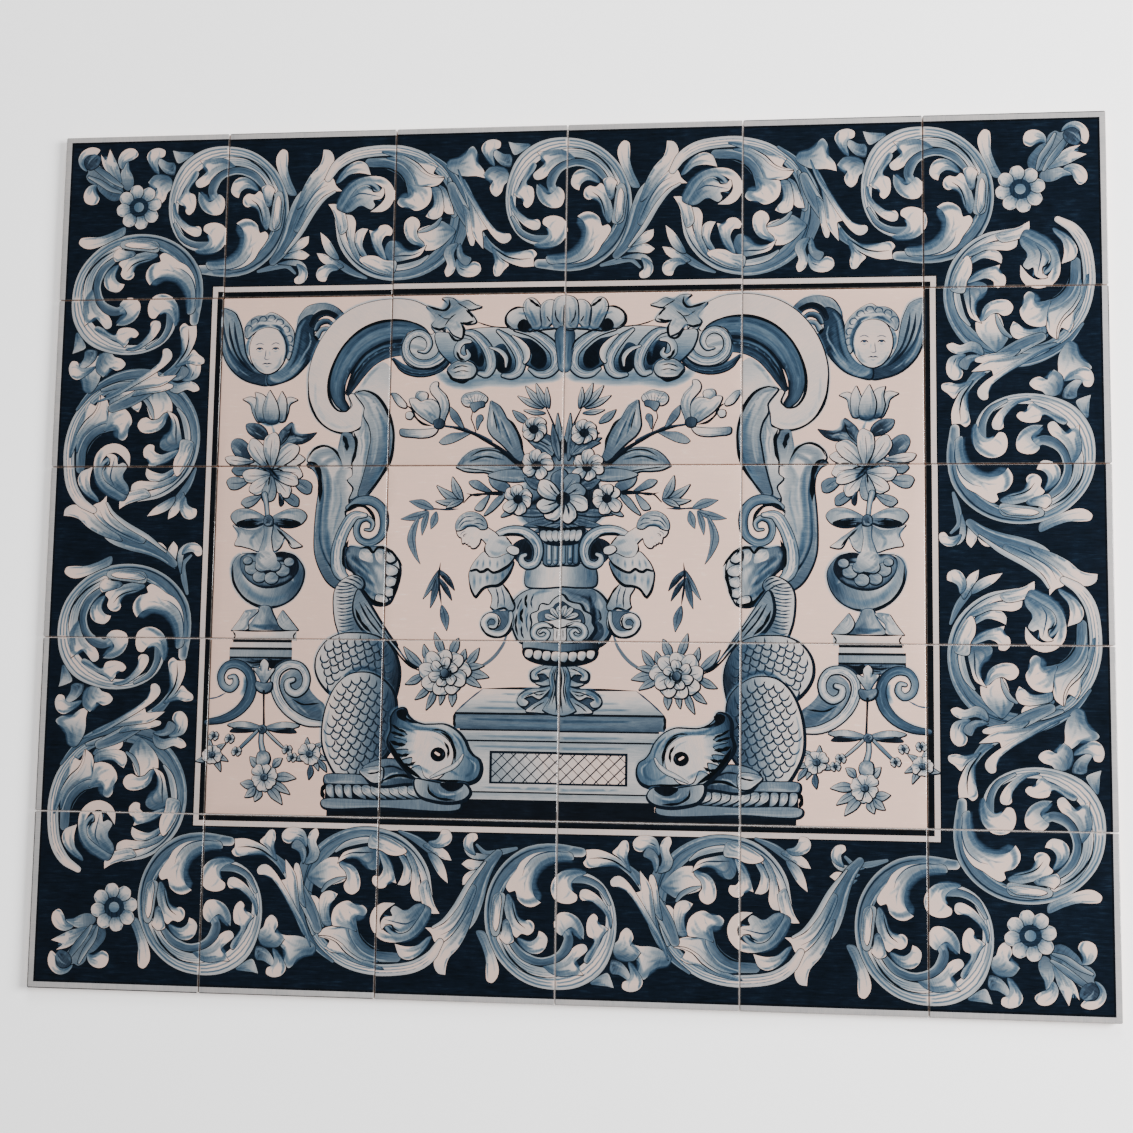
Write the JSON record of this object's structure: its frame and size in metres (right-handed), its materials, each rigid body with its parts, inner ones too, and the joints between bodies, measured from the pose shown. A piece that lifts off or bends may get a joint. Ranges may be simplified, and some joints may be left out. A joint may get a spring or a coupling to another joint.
{
  "type": "azulejo tile panel",
  "caption": "Rectangular picture panel of square tin-glazed tiles laid edge to edge, hand painted in blue: an urn of flowers among scrolls, framed by a dark acanthus border; lines a wall.",
  "frame": {"origin": "middle of the panel's back, on the floor that it lies on face up", "axes": "+X to the right of the painted picture, +Y to its top, +Z out of the glazed face"},
  "size_m": [0.8394, 0.6994, 0.008],
  "materials": {
    "border_glaze": "gloss",
    "picture_glaze": "gloss"
  },
  "bodies": {
    "root": {"tile_a1": "border_glaze", "tile_a2": "border_glaze", "tile_a3": "border_glaze", "tile_a4": "border_glaze", "tile_a5": "border_glaze", "tile_a6": "border_glaze", "tile_b1": "border_glaze", "tile_b2": "picture_glaze", "tile_b3": "picture_glaze", "tile_b4": "picture_glaze", "tile_b5": "picture_glaze", "tile_b6": "border_glaze", "tile_c1": "border_glaze", "tile_c2": "picture_glaze", "tile_c3": "picture_glaze", "tile_c4": "picture_glaze", "tile_c5": "picture_glaze", "tile_c6": "border_glaze", "tile_d1": "border_glaze", "tile_d2": "picture_glaze", "tile_d3": "picture_glaze", "tile_d4": "picture_glaze", "tile_d5": "picture_glaze", "tile_d6": "border_glaze", "tile_e1": "border_glaze", "tile_e2": "border_glaze", "tile_e3": "border_glaze", "tile_e4": "border_glaze", "tile_e5": "border_glaze", "tile_e6": "border_glaze"}
  },
  "joints": []
}
